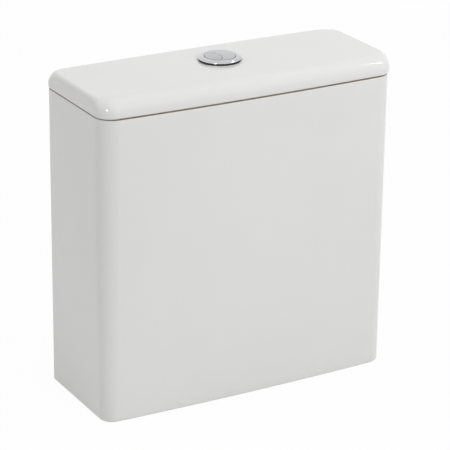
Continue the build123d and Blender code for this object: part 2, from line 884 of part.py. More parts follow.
with BuildPart() as inlet_filter:
    with BuildSketch(turning_plane(inlet_x, valve_y)):
        with BuildLine():
            filter_radius = inlet_bore_radius - filter_gap
            Polyline(
                (filter_radius - filter_wall, inlet_low),
                (inlet_bore_radius - press_gap, inlet_low),
                (inlet_bore_radius - press_gap, inlet_low + filter_flange_height),
                (filter_radius, inlet_low + filter_flange_height),
                (filter_radius, inlet_low + filter_length),
                (0, inlet_low + filter_length),
                (0, inlet_low + filter_length - filter_wall),
                (filter_radius - filter_wall, inlet_low + filter_length - filter_wall),
                close=True,
            )
        make_face()
    revolve(axis=upright(inlet_x, valve_y))

shank_washer = make_ring(
    inlet_x, valve_y, inlet_thread_radius + press_gap, shank_washer_radius, floor_top, inlet_flange_low
)

with BuildPart() as fill_backnut:
    with BuildSketch(Plane(origin=(inlet_x, valve_y, nut_low))):
        RegularPolygon(fill_nut_flats / 2, 6, major_radius=False)
    extrude(amount=fill_nut_height)
    with BuildSketch(Plane(origin=(inlet_x, valve_y, nut_low + fill_nut_height))):
        Circle(fill_nut_washer_radius)
    extrude(amount=fill_nut_washer_height)
    with Locations((inlet_x, valve_y, nut_low)):
        Hole(inlet_thread_radius + press_gap, depth=fill_nut_height + overrun)

# Fill valve head: a socket on the riser, the valve chamber and a spout towards the back
with BuildPart() as fill_valve_head:
    with BuildSketch(Plane(origin=(inlet_x, valve_y, socket_low))):
        Circle(head_socket_radius)
    extrude(amount=head_socket_height)
    with BuildSketch(Plane(origin=(inlet_x, valve_y, riser_high))):
        Circle(fill_head_radius)
    extrude(amount=fill_head_height)
    with BuildSketch(Plane(origin=(inlet_x, valve_y, spout_low))):
        with Locations((0, spout_reach / 2)):
            Rectangle(spout_width, spout_reach)
        with Locations((0, spout_reach)):
            Circle(spout_width / 2)
    extrude(amount=spout_height)
    with Locations((inlet_x, valve_y, socket_low)):
        Hole(riser_radius + press_gap, depth=head_socket_height)
    with Locations((inlet_x, valve_y, fill_head_top)):
        Hole(inlet_bore_radius, depth=fill_head_height)
    with Locations((inlet_x, valve_y + spout_reach, spout_low)):
        Hole(spout_bore_radius, depth=spout_height - discharge_wall)

discharge_tube = make_ring(
    inlet_x, valve_y + spout_reach, discharge_radius - discharge_wall, discharge_radius,
    discharge_low, spout_low,
)

diaphragm = make_ring(
    inlet_x, valve_y, pilot_bore_radius, fill_head_radius - diaphragm_inset, fill_head_top, fill_cap_low
)

# Fill valve cap: ribbed for the fingers, with the pilot pin and two ears for the float lever
ear_offset = float_lever_width / 2 + lever_side_gap + ear_thickness / 2
ear_span = ear_offset + ear_thickness / 2
with BuildPart() as fill_valve_cap:
    with BuildSketch(Plane(origin=(inlet_x, valve_y, fill_cap_low))):
        Circle(fill_cap_radius)
    extrude(amount=fill_cap_height)
    fillet(fill_valve_cap.faces().sort_by(Axis.Z)[-1].edges(), fill_cap_edge_radius)
    with BuildSketch(Plane(origin=(inlet_x, valve_y, fill_cap_low))):
        with PolarLocations(fill_cap_radius, fill_cap_ribs):
            Circle(fill_cap_rib_radius)
    extrude(amount=fill_cap_height - 2 * fill_cap_edge_radius)
    with BuildSketch(Plane(origin=(inlet_x, valve_y, fill_cap_top))):
        Circle(pilot_radius)
    extrude(amount=float_pivot_rise - float_lever_half_height - touch_gap)
    with BuildSketch(Plane(origin=(inlet_x + float_pivot_offset, valve_y, fill_cap_top))):
        with GridLocations(0, 2 * ear_offset, 1, 2):
            Rectangle(2 * ear_half_width, ear_thickness)
    extrude(amount=float_pivot_rise + ear_half_width)
    with BuildSketch(Plane(origin=(inlet_x + float_pivot_offset, valve_y, float_pivot_z), z_dir=(0, -1, 0))):
        Circle(pin_radius + press_gap)
    extrude(amount=ear_span, both=True, mode=Mode.SUBTRACT)

float_lever_pin = make_pin(
    inlet_x + float_pivot_offset, valve_y - ear_span, float_pivot_z, -1, 2 * ear_span
)

float_arm = float_pivot_offset + float_rod_offset
with BuildPart() as float_lever:
    lever_origin = (inlet_x + float_pivot_offset, valve_y, float_pivot_z)
    with BuildSketch(Plane(origin=lever_origin, x_dir=(1, 0, 0), z_dir=(0, -1, 0))):
        with Locations((-(float_arm + float_lever_overhang) / 2, 0)):
            SlotCenterToCenter(float_arm + float_lever_overhang, 2 * float_lever_half_height)
        Circle(float_lever_boss_radius)
        Circle(pin_radius + pin_gap, mode=Mode.SUBTRACT)
    extrude(amount=float_lever_width / 2, both=True)

# Float cup: an air bell that slides on the riser, with a lug for its rod
rod_x = inlet_x - float_rod_offset
lug_low = cup_high - cup_lug_height
with BuildPart() as float_cup:
    with BuildSketch(Plane(origin=(inlet_x, valve_y, cup_high - cup_height))):
        Circle(cup_radius)
    extrude(amount=cup_height)
    with BuildSketch(Plane(origin=(0, valve_y, lug_low))):
        with Locations((rod_x, 0)):
            Circle(cup_lug_radius)
        with Locations((rod_x + cup_lug_radius, 0)):
            Rectangle(2 * cup_lug_radius, 2 * cup_lug_radius)
    extrude(amount=cup_lug_height)
    with BuildSketch(Plane(origin=(inlet_x, valve_y, cup_high - cup_height))):
        Circle(cup_radius - cup_wall)
        Circle(riser_radius + cup_gap + cup_wall, mode=Mode.SUBTRACT)
    extrude(amount=cup_height - cup_wall, mode=Mode.SUBTRACT)
    with Locations((inlet_x, valve_y, cup_high)):
        Hole(riser_radius + cup_gap, depth=cup_height + overrun)
    with Locations((rod_x, valve_y, cup_high)):
        Hole(float_rod_radius + press_gap, depth=cup_lug_height + overrun)

float_rod_top = float_pivot_z - float_lever_half_height - touch_gap
with BuildPart() as float_rod:
    with BuildSketch(turning_plane(rod_x, valve_y)):
        with BuildLine():
            Polyline(
                (0, float_rod_top),
                (0, cup_high - float_rod_socket),
                (float_rod_radius, cup_high - float_rod_socket),
                (float_rod_radius, float_rod_top - float_rod_radius),
            )
            RadiusArc(
                (float_rod_radius, float_rod_top - float_rod_radius), (0, float_rod_top), -float_rod_radius
            )
        make_face()
    revolve(axis=upright(rod_x, valve_y))

float_clip = make_ring(
    rod_x, valve_y, float_rod_radius + press_gap, clip_radius, cup_high, cup_high + clip_height
)

pieces = {
    "cistern_tank": cistern_tank,
    "cistern_lid": cistern_lid,
    "button_bezel": button_bezel,
    "bezel_gasket": bezel_gasket,
    "bezel_locknut": bezel_locknut,
    "button_carrier": button_carrier,
    "full_flush_button": full_flush_button,
    "half_flush_button": half_flush_button,
    "full_flush_rod": full_flush_rod,
    "half_flush_rod": half_flush_rod,
    "full_button_spring": full_button_spring,
    "half_button_spring": half_button_spring,
    "valve_base": valve_base,
    "base_washer": base_washer,
    "valve_backnut": valve_backnut,
    "coupling_gasket": coupling_gasket,
    "valve_cage": valve_cage,
    "valve_head": valve_head,
    "full_lever_pin": full_lever_pin,
    "half_lever_pin": half_lever_pin,
    "full_lift_lever": full_lift_lever,
    "half_lift_lever": half_lift_lever,
    "overflow_tube": overflow_tube,
    "flush_seal": flush_seal,
    "seal_retainer": seal_retainer,
    "full_flush_float": full_flush_float,
    "lift_yoke": lift_yoke,
    "half_flush_sleeve": half_flush_sleeve,
    "half_flush_float": half_flush_float,
    "fill_riser": fill_riser,
    "inlet_filter": inlet_filter,
    "shank_washer": shank_washer,
    "fill_backnut": fill_backnut,
    "fill_valve_head": fill_valve_head,
    "discharge_tube": discharge_tube,
    "diaphragm": diaphragm,
    "fill_valve_cap": fill_valve_cap,
    "float_lever_pin": float_lever_pin,
    "float_lever": float_lever,
    "float_cup": float_cup,
    "float_rod": float_rod,
    "float_clip": float_clip,
}

os.makedirs("parts", exist_ok=True)
for name, piece in pieces.items():
    piece.part.label = name
    export_step(piece.part, f"parts/{name}.step")
print(len(pieces), "pieces written")
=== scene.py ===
# Close-coupled toilet cistern: finishes, tank and lid shells, springs, light and camera
import json
import math

import bmesh
import bpy
from mathutils import Matrix, Vector


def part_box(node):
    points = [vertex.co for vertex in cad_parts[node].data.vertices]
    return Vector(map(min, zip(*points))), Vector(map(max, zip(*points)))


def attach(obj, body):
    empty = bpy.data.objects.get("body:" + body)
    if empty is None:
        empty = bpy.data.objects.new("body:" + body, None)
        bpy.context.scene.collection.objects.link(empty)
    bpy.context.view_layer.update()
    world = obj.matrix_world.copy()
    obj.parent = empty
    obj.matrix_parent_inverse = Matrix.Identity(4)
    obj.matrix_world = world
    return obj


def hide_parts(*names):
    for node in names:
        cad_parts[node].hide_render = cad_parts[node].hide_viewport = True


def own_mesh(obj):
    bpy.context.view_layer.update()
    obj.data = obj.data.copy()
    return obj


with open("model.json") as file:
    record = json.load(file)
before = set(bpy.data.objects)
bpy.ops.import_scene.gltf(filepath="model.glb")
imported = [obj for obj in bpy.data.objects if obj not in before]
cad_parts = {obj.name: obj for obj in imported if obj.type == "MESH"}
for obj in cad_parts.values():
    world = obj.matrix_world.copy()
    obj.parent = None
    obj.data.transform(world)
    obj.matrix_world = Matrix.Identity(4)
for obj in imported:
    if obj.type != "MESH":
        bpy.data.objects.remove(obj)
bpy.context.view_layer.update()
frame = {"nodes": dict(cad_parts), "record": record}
nodes = frame["nodes"]
mm = 0.001
print("frame loaded with", len(nodes), "nodes")


class Wire:
    # One node socket. Sums and products of wires add their own Math nodes.
    def __init__(self, tree, socket=None):
        self.tree = tree
        self.socket = socket

    def node(self, kind, inputs=None, out=0, **settings):
        # settings come first, then the values or links of the sockets
        made = self.tree.nodes.new(kind)
        for name, value in settings.items():
            setattr(made, name, value)
        for name, value in (inputs or {}).items():
            if isinstance(value, Wire):
                self.tree.links.new(value.socket, made.inputs[name])
            else:
                made.inputs[name].default_value = value
        return Wire(self.tree, made.outputs[out])

    def outs(self, *names):
        # several sockets of this wire's node
        return [Wire(self.tree, self.socket.node.outputs[name]) for name in names]

    def maths(self, operation, *values):
        return self.node("ShaderNodeMath", dict(enumerate(values)), operation=operation)

    def single(self, operation):
        # a Math node with this wire alone, such as a root or a cosine
        return self.maths(operation, self)

    def __add__(self, other):
        return self.maths("ADD", self, other)

    def __radd__(self, other):
        return self.maths("ADD", other, self)

    def __sub__(self, other):
        return self.maths("SUBTRACT", self, other)

    def __rsub__(self, other):
        return self.maths("SUBTRACT", other, self)

    def __mul__(self, other):
        return self.maths("MULTIPLY", self, other)

    def __rmul__(self, other):
        return self.maths("MULTIPLY", other, self)

    def __truediv__(self, other):
        return self.maths("DIVIDE", self, other)

    def __rtruediv__(self, other):
        return self.maths("DIVIDE", other, self)

    def least(self, other):
        return self.maths("MINIMUM", self, other)

    def most(self, other):
        return self.maths("MAXIMUM", self, other)

    def between(self, low, high):
        return self.most(low).least(high)

    def ramp(self, low, high):
        # 0 below low and 1 above high, eased between
        return self.node(
            "ShaderNodeMapRange", {"Value": self, "From Min": low, "From Max": high},
            interpolation_type="SMOOTHSTEP",
        )

    def blend(self, first, second):
        # the first colour where this wire is 0, the second where it is 1 (6, 7 and out 2 are colours)
        return self.node("ShaderNodeMix", {0: self, 6: first, 7: second}, out=2, data_type="RGBA")

    def noise(self, scale, detail=2, roughness=0.5):
        # noise on a vector wire
        return self.node(
            "ShaderNodeTexNoise", {"Vector": self, "Scale": scale, "Detail": detail, "Roughness": roughness}
        )

    def bump(self, distance):
        return self.node("ShaderNodeBump", {"Height": self, "Distance": distance, "Strength": 1})


def startMaterial(name):
    material = bpy.data.materials.new(name)
    material.use_nodes = True
    return material, Wire(material.node_tree).node("ShaderNodeTexCoord", out="Object")


def feed(material, **sockets):
    # a number or colour is set on the socket itself, a wire is linked
    tree = material.node_tree
    for name, value in sockets.items():
        socket = tree.nodes["Principled BSDF"].inputs[name.replace("_", " ")]
        if isinstance(value, Wire):
            tree.links.new(value.socket, socket)
        else:
            socket.default_value = value


def shaded(colour, share):
    return tuple(channel * share for channel in colour[:3]) + (1,)


glazeLook = {
    "white": (0.745, 0.745, 0.74, 1),
    "warmWhite": (0.73, 0.728, 0.718, 1),
    "toneScale": 5,  # patches about 20 cm across
    "toneEdges": (0.3, 0.7),
    "peelScale": 90,
    "peelDepth": 0.06 * mm,
    "roughness": 0.07,
    "roughnessSpread": 0.04,
    "sheenScale": 30,
    "ior": 1.52,
    "bareClay": (0.42, 0.34, 0.29, 1),
    "speckleScale": 900,
    "speckleEdges": (0.45, 0.62),
    "speckleShade": 0.8,
    "bareRoughness": 0.6,
    "rimBare": (0.45 * mm, 0.1 * mm),  # below the rim: where the glaze gets thin and where it is gone
    "footBare": (1.2 * mm, 0.4 * mm),  # the same above the foot
    "lidBare": (0.65 * mm, 0.2 * mm),  # the same above the rim, on the lid
}


def makeGlaze(name, bareZones):
    # bareZones are heights (start, full) where the glaze gives way to bare fired clay
    look = glazeLook
    material, place = startMaterial(name)
    height = place.node("ShaderNodeSeparateXYZ", {0: place}, out="Z")
    tone = place.noise(look["toneScale"], 3).ramp(*look["toneEdges"])
    speckle = place.noise(look["speckleScale"]).ramp(*look["speckleEdges"])
    clay = speckle.blend(look["bareClay"], shaded(look["bareClay"], look["speckleShade"]))
    bare = None
    for start, full in bareZones:
        zone = height.ramp(min(start, full), max(start, full))
        zone = zone if full > start else 1 - zone
        bare = zone if bare is None else bare.most(zone)
    sheen = look["roughness"] + place.noise(look["sheenScale"]) * look["roughnessSpread"]
    feed(
        material, Base_Color=bare.blend(tone.blend(look["white"], look["warmWhite"]), clay),
        Roughness=sheen + bare * look["bareRoughness"], IOR=look["ior"],
        Normal=place.noise(look["peelScale"]).bump(look["peelDepth"]),
    )
    return material


chromeLook = {
    # colour, roughness and what a smudge adds to it, and the lean from level where the painted dark
    # reflection starts and is full
    "ring": ((0.6, 0.605, 0.61, 1), (0.12, 0.06), (0.62, 0.9)),
    "button": ((0.48, 0.495, 0.51, 1), (0.07, 0.05), (0.04, 0.3)),
    "paintedReflectionDark": (0.045, 0.045, 0.047, 1),  # painted dark reflection: faces that lean are painted near black, standing in for the dark side of the room they would mirror
    "smudgeScale": 60,
    "smudgeEdges": (0.35, 0.75),
    "smudgeShade": 0.9,
    "scratchScale": 260,
    "scratchDepth": 0.004 * mm,
}


def makeChrome(name, colour, roughness, lean):
    look = chromeLook
    material, place = startMaterial(name)
    smudge = place.noise(look["smudgeScale"]).ramp(*look["smudgeEdges"])
    facing = place.node("ShaderNodeTexCoord", out="Normal")
    # painted dark reflection: the more a face leans from level, the nearer its colour goes to near black
    paintedReflectionDark = (1 - facing.node("ShaderNodeSeparateXYZ", {0: facing}, out="Z")).ramp(*lean)
    metal = smudge.blend(colour, shaded(colour, look["smudgeShade"]))
    clean, added = roughness
    feed(
        material, Base_Color=paintedReflectionDark.blend(metal, look["paintedReflectionDark"]), Metallic=1.0,
        Roughness=clean + smudge * added,
        Normal=place.noise(look["scratchScale"], 3, 0.6).bump(look["scratchDepth"]),
    )
    return material


plasticLook = {
    "flowScale": 35,  # faint flow marks of the mould
    "flowEdges": (0.3, 0.7),
    "flowShade": 0.9,
    "flowRoughness": 0.08,
    "grainScale": 1400,
    "ior": 1.49,
    "white": ((0.74, 0.75, 0.74, 1), 0.28, 0.01 * mm),  # colour, roughness and depth of the grain
    "grey": ((0.17, 0.18, 0.19, 1), 0.42, 0.02 * mm),
    "blue": ((0.03, 0.13, 0.36, 1), 0.3, 0.01 * mm),
}


def makePlastic(name, colour, roughness, grainDepth):
    look = plasticLook
    material, place = startMaterial(name)
    flow = place.noise(look["flowScale"], 3).ramp(*look["flowEdges"])
    feed(
        material, Base_Color=flow.blend(colour, shaded(colour, look["flowShade"])),
        Roughness=roughness + flow * look["flowRoughness"], IOR=look["ior"],
        Normal=place.noise(look["grainScale"]).bump(grainDepth),
    )
    return material


rubberLook = {
    "dark": (0.035, 0.035, 0.037, 1),
    "red": (0.42, 0.07, 0.045, 1),
    "bloomScale": 60,  # the pale dust that rubber sweats out
    "bloomEdges": (0.4, 0.75),
    "bloomGain": 1.5,
    "bloomLift": 0.02,
    "roughness": 0.55,
    "roughnessSpread": 0.2,
    "grainScale": 900,
    "grainDepth": 0.03 * mm,
    "ior": 1.5,
}


def makeRubber(name, colour):
    look = rubberLook
    material, place = startMaterial(name)
    bloom = place.noise(look["bloomScale"], 4, 0.6).ramp(*look["bloomEdges"])
    pale = tuple(channel * look["bloomGain"] + look["bloomLift"] for channel in colour[:3]) + (1,)
    feed(
        material, Base_Color=bloom.blend(colour, pale),
        Roughness=look["roughness"] + bloom * look["roughnessSpread"], IOR=look["ior"],
        Normal=place.noise(look["grainScale"], 3).bump(look["grainDepth"]),
    )
    return material


steelLook = {
    "colour": (0.62, 0.62, 0.62, 1),
    "lineScale": 2600,
    "lineStretch": 0.08,  # drawn wire: its fine lines run along the height
    "lineDepth": 0.01 * mm,
    "roughness": 0.24,
    "roughnessSpread": 0.16,
}


def makeSteel(name):
    look = steelLook
    material, place = startMaterial(name)
    stretched = place.node("ShaderNodeMapping", {"Vector": place, "Scale": (1, 1, look["lineStretch"])})
    lines = stretched.noise(look["lineScale"])
    feed(
        material, Base_Color=look["colour"], Metallic=1.0,
        Roughness=look["roughness"] + lines * look["roughnessSpread"], Normal=lines.bump(look["lineDepth"]),
    )
    return material


tankLow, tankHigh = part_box("cistern_tank")
lidLow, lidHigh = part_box("cistern_lid")
valveLow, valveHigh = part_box("valve_base")
valveY = (valveLow.y + valveHigh.y) / 2
tankBare = [tuple(tankHigh.z - depth for depth in glazeLook["rimBare"]), glazeLook["footBare"]]
lidBare = [tuple(tankHigh.z + height for height in glazeLook["lidBare"])]
finishes = {
    "glaze": makeGlaze("glaze", tankBare),
    "lidGlaze": makeGlaze("lidGlaze", lidBare),
    "chrome_ring": makeChrome("chromeRing", *chromeLook["ring"]),
    "chrome_button": makeChrome("chromeButton", *chromeLook["button"]),
    "dark_rubber": makeRubber("darkRubber", rubberLook["dark"]),
    "red_rubber": makeRubber("redRubber", rubberLook["red"]),
    "white_plastic": makePlastic("whitePlastic", *plasticLook["white"]),
    "grey_plastic": makePlastic("greyPlastic", *plasticLook["grey"]),
    "blue_plastic": makePlastic("bluePlastic", *plasticLook["blue"]),
    "spring_steel": makeSteel("springSteel"),
}
for part in frame["record"]["subparts"]:
    node = nodes[part["node"]]
    node.data.materials.clear()
    node.data.materials.append(finishes[part["material_slot"]])
print("finishes on the packed pieces")


def roundedPath(corners, steps, longest):
    # rows of a profile from corners (across, up, radius), each corner rounded and long runs divided
    rows = []
    for index, (across, up, radius) in enumerate(corners):
        here = Vector((across, up))
        if radius == 0:
            rows.append(here)
            continue
        before = (Vector(corners[index - 1][:2]) - here).normalized()
        after = (Vector(corners[(index + 1) % len(corners)][:2]) - here).normalized()
        half = before.angle(after) / 2
        centre = here + (before + after).normalized() * radius / math.sin(half)
        start = here + before * radius / math.tan(half) - centre
        turn = start.angle_signed(here + after * radius / math.tan(half) - centre)
        for step in range(steps + 1):
            rows.append(centre + Matrix.Rotation(-turn * step / steps, 2) @ start)
    full = [rows[0]]
    for row in rows[1:]:
        start = full[-1]
        count = max(1, math.ceil((row - start).length / longest))
        full += [start.lerp(row, (step + 1) / count) for step in range(count)]
    return full


def profileMesh(name, rows, edges=()):
    # a tree's host with one point for each row (inset, share, height); edge mark 1 follows the edge radius
    mesh = bpy.data.meshes.new(name)
    mesh.from_pydata(rows, [], [])
    marks = mesh.attributes.new("edge", "FLOAT", "POINT")
    marks.data.foreach_set("value", edges or [0.0] * len(rows))
    host = bpy.data.objects.new(name, mesh)
    bpy.context.scene.collection.objects.link(host)
    return host


def startTree(name, sizes):
    # a tree with a geometry input, a number input for each size, and a geometry output
    tree = bpy.data.node_groups.new(name, "GeometryNodeTree")
    tree.interface.new_socket("Host", in_out="INPUT", socket_type="NodeSocketGeometry")
    for size in sizes:
        tree.interface.new_socket(size, in_out="INPUT", socket_type="NodeSocketFloat")
    tree.interface.new_socket("Made", in_out="OUTPUT", socket_type="NodeSocketGeometry")
    group = tree.nodes.new("NodeGroupInput")
    return tree, Wire(tree), {socket.name: Wire(tree, socket) for socket in group.outputs}


def joined(tree, parts):
    join = tree.nodes.new("GeometryNodeJoinGeometry")
    for part in parts:
        tree.links.new(part.socket, join.inputs[0])
    return Wire(tree, join.outputs[0])


def finishTree(shape, finish):
    smooth = shape.node("GeometryNodeSetShadeSmooth", {"Geometry": shape})
    real = shape.node("GeometryNodeRealizeInstances", {"Geometry": smooth})
    painted = shape.node("GeometryNodeSetMaterial", {"Geometry": real, "Material": finish})
    output = shape.tree.nodes.new("NodeGroupOutput")
    shape.tree.links.new(painted.socket, output.inputs[0])


shellDetail = {"holeSteps": 64, "weld": 0.001 * mm, "lastWeld": 0.02 * mm}


def flatFloor(shell, endRow, level, holes):
    # a flat floor with its holes, inside the ring of the shell's points that have this row number
    rowName = shell.node("GeometryNodeInputNamedAttribute", {"Name": "row"}, data_type="FLOAT")
    onEnd = shell.node(
        "FunctionNodeCompare", {0: rowName, 1: endRow, "Epsilon": 0.01},  # row numbers are whole
        data_type="FLOAT", operation="EQUAL",
    )
    rings = [shell.node("GeometryNodeMeshToCurve", {"Mesh": shell, "Selection": onEnd})]
    for x, y, radius in holes:
        ring = shell.node(
            "GeometryNodeCurvePrimitiveCircle", {"Resolution": shellDetail["holeSteps"], "Radius": radius}
        )
        rings.append(shell.node("GeometryNodeTransform", {"Geometry": ring, "Translation": (x, y, 0)}))
    filled = shell.node("GeometryNodeFillCurve", {"Curve": joined(shell.tree, rings)})
    return shell.node("GeometryNodeTransform", {"Geometry": filled, "Translation": (0, 0, level)})


def holeWall(wire, hole, low, high):
    x, y, radius = hole
    wall = wire.node(
        "GeometryNodeMeshCylinder",
        {"Vertices": shellDetail["holeSteps"], "Radius": radius, "Depth": high - low},
        fill_type="NONE",
    )
    middle = (x, y, (low + high) / 2)
    return wire.node("GeometryNodeTransform", {"Geometry": wall, "Translation": middle})


def shellTree(name, columns, cornerShare, sizes, holes, floorHeights, finish):
    # a closed shell from rows of a profile, each led round a rounded rectangle with a bowed front
    tree, wire, size = startTree(name, sizes)
    rows = wire.node("GeometryNodeAttributeDomainSize", {0: size["Host"]})
    grid = wire.node("GeometryNodeMeshGrid", {"Vertices X": columns + 1, "Vertices Y": rows})
    index = wire.node("GeometryNodeInputIndex")
    column = (index / rows).single("FLOOR")
    row = index - column * rows
    place = wire.node("GeometryNodeInputPosition")
    profile = wire.node(
        "GeometryNodeSampleIndex", {"Geometry": size["Host"], "Value": place, "Index": row},
        data_type="FLOAT_VECTOR",
    )
    inset, share, height = wire.node("ShaderNodeSeparateXYZ", {0: profile}).outs("X", "Y", "Z")
    edgeName = wire.node("GeometryNodeInputNamedAttribute", {"Name": "edge"}, data_type="FLOAT")
    edge = wire.node("GeometryNodeSampleIndex", {"Geometry": size["Host"], "Value": edgeName, "Index": row})

    around = column * (4 / columns)  # 0 to 4, one for each side and the corner after it
    side = (around + 1e-5).single("FLOOR")  # a hair more, so that a full side never rounds down
    along = (around - side) / (1 - cornerShare)
    turned = side + (around - side - (1 - cornerShare)).most(0) / cornerShare
    reach = side + along.between(0, 1)
    sideX = (reach * 2 - 1).least(5 - reach * 2).between(-1, 1)
    sideY = (reach * 2 - 3).least(7 - reach * 2).between(-1, 1)
    facing = (turned - 1) * (math.pi / 2)
    faceX = facing.single("COSINE")
    faceY = facing.single("SINE")
    back = (sideY + 1) / 2

    # the lid's upper edge is rounder at the front and the back than at the sides
    outerCorner = size["Top front corner"] + (size["Top back corner"] - size["Top front corner"]) * back
    outerDepth = (size["Back"] - size["Top front"]) / 2
    outerY = sideY * (outerDepth - outerCorner) + faceY * outerCorner
    ease = 1 - (outerDepth - outerY.single("ABSOLUTE")).ramp(size["Ease start"], size["Ease end"])
    edgeRadius = size["Edge radius"] * (size["Side edge share"] + (1 - size["Side edge share"]) * ease)
    drop = size["Top height"] - height
    stretch = (size["Edge height"] - edgeRadius) / (size["Edge height"] - size["Edge radius"])
    wallDrop = size["Edge height"] - (size["Edge height"] - drop) * stretch
    lean = edgeRadius - inset.least(edgeRadius)
    level = (edgeRadius * edgeRadius - lean * lean).most(0)
    edgeDrop = wallDrop.most(edgeRadius - level.single("SQRT"))
    height = height - (edgeDrop - drop) * edge

    rise = (height / size["Top height"]).between(0, 1)

    def atHeight(base, top):
        return size[base] + (size[top] - size[base]) * rise

    halfWidth = atHeight("Base half width", "Top half width")
    front = atHeight("Base front", "Top front")
    frontCorner = atHeight("Base front corner", "Top front corner")
    backCorner = atHeight("Base back corner", "Top back corner")
    corner = frontCorner + (backCorner - frontCorner) * back
    radius = (corner - inset).most(inset.least(size["Inner corner least"]))
    middleY = (size["Back"] + front) / 2
    halfDepth = (size["Back"] - front) / 2
    edgeX = sideX * (halfWidth - inset - radius) + faceX * radius
    edgeY = middleY + sideY * (halfDepth - inset - radius) + faceY * radius
    sideShare = edgeX / (halfWidth - inset)
    frontShare = ((middleY - edgeY) / (halfDepth - inset)).between(0, 1)
    edgeY = edgeY - size["Front bow"] * (1 - sideShare * sideShare) * frontShare

    spanX = edgeX - size["Hole x"]
    spanY = edgeY - size["Hole y"]
    far = (spanX * spanX + spanY * spanY).single("SQRT")
    holeX = size["Hole x"] + spanX / far * size["Hole radius"]
    holeY = size["Hole y"] + spanY / far * size["Hole radius"]
    pointX = holeX + (edgeX - holeX) * share
    pointY = holeY + (edgeY - holeY) * share
    crownShare = pointX / halfWidth
    crowned = (height - size["Crown start"]) / (size["Crown full"] - size["Crown start"])
    pointZ = height - size["Crown"] * crownShare * crownShare * crowned.between(0, 1)
    point = wire.node("ShaderNodeCombineXYZ", {0: pointX, 1: pointY, 2: pointZ})

    marked = wire.node(
        "GeometryNodeStoreNamedAttribute", {"Geometry": grid, "Name": "row", "Value": row}, data_type="FLOAT"
    )
    shaped = wire.node("GeometryNodeSetPosition", {"Geometry": marked, "Position": point})
    welded = wire.node("GeometryNodeMergeByDistance", {"Geometry": shaped, "Distance": shellDetail["weld"]})
    parts = [welded]
    if holes:
        low, high = floorHeights
        parts += [flatFloor(welded, 0, low, holes), flatFloor(welded, rows - 1, high, holes)]
        parts += [holeWall(wire, hole, low, high) for hole in holes]
    closed = wire.node(
        "GeometryNodeMergeByDistance", {"Geometry": joined(tree, parts), "Distance": shellDetail["lastWeld"]}
    )
    finishTree(closed, finish)
    return tree


def grow(host, tree, values, name):
    # the evaluated tree as a plain, closed mesh with outward faces
    modifier = host.modifiers.new("grow", "NODES")
    modifier.node_group = tree
    for item in tree.interface.items_tree:
        if item.in_out == "INPUT" and item.name in values:
            modifier[item.identifier] = values[item.name]
    bpy.context.view_layer.update()
    evaluated = host.evaluated_get(bpy.context.evaluated_depsgraph_get())
    mesh = bpy.data.meshes.new_from_object(evaluated)
    host.modifiers.clear()
    bpy.data.objects.remove(host)
    shape = bmesh.new()
    shape.from_mesh(mesh)
    bmesh.ops.remove_doubles(shape, verts=shape.verts, dist=shellDetail["weld"])
    bmesh.ops.recalc_face_normals(shape, faces=shape.faces)
    loose = sum(1 for edge in shape.edges if len(edge.link_faces) != 2)
    shape.to_mesh(mesh)
    shape.free()
    mesh.name = name
    made = bpy.data.objects.new(name, mesh)
    bpy.context.scene.collection.objects.link(made)
    print(name, len(mesh.vertices), "vertices,", loose, "open edges")
    return made


tankSizes = {
    "wall": 9 * mm,
    "floorLow": 40 * mm,
    "floorHigh": 52 * mm,
    "bow": 4 * mm,
    "baseWidthShare": 0.995,
    "baseDepthShare": 0.976,
    "frontCorner": (16 * mm, 21.5 * mm),  # at the base and at the rim
    "backCorner": (9 * mm, 13.5 * mm),
    "innerCornerLeast": 9 * mm,
    "footRadius": 3 * mm,
    "footInnerRadius": 1.5 * mm,
    "rimRadius": 1.2 * mm,
    "rimInnerRadius": 2 * mm,
    "floorRadius": 7 * mm,
    "floorInset": 20 * mm,  # where the rows end and the flat floor begins
    "ceilingRadius": 2 * mm,
    "outletHole": 32 * mm,
    "inletHole": 14 * mm,
    "cornerSteps": 6,
    "columns": 240,
    "cornerShare": 0.4,
    "longestRun": 12 * mm,
}


def makeTank():
    size = tankSizes
    top = tankHigh.z
    depth = tankHigh.y - tankLow.y - size["bow"]
    corners = [
        (size["floorInset"], size["floorLow"], 0),
        (size["wall"], size["floorLow"], size["ceilingRadius"]),
        (size["wall"], 0, size["footInnerRadius"]),
        (0, 0, size["footRadius"]),
        (0, top, size["rimRadius"]),
        (size["wall"], top, size["rimInnerRadius"]),
        (size["wall"], size["floorHigh"], size["floorRadius"]),
        (size["floorInset"], size["floorHigh"], 0),
    ]
    rows = [(row.x, 1, row.y) for row in roundedPath(corners, size["cornerSteps"], size["longestRun"])]
    holes = []
    for node, radius in (("valve_base", size["outletHole"]), ("fill_riser", size["inletHole"])):
        low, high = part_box(node)
        holes.append(((low.x + high.x) / 2, valveY, radius))
    mounts = {mount["name"]: mount["dims"] for mount in frame["record"]["mounts"]}
    bolts = mounts["coupling_bolts"]
    for side in (-1, 1):
        holes.append((side * bolts["spacing_x_mm"] * mm / 2, valveY, bolts["hole_r_mm"] * mm))
    values = {
        "Top height": top,
        "Top half width": tankHigh.x,
        "Base half width": tankHigh.x * size["baseWidthShare"],
        "Back": tankHigh.y,
        "Top front": tankHigh.y - depth,
        "Base front": tankHigh.y - depth * size["baseDepthShare"],
        "Front bow": size["bow"],
        "Base front corner": size["frontCorner"][0],
        "Top front corner": size["frontCorner"][1],
        "Base back corner": size["backCorner"][0],
        "Top back corner": size["backCorner"][1],
        "Inner corner least": size["innerCornerLeast"],
        "Hole x": 0.0,
        "Hole y": valveY,
        "Hole radius": 0.0,
        "Crown": 0.0,
        "Crown start": 0.0,
        "Crown full": top,
        "Edge radius": size["rimRadius"],
        "Edge height": top,
        "Side edge share": 1.0,
        "Ease start": 0.0,
        "Ease end": depth,
    }
    floors = (size["floorLow"], size["floorHigh"])
    tree = shellTree(
        "tankShell", size["columns"], size["cornerShare"], values, holes, floors, finishes["glaze"]
    )
    tank = grow(profileMesh("tankProfile", rows), tree, values, "tank")
    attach(tank, "tank")
    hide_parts("cistern_tank")


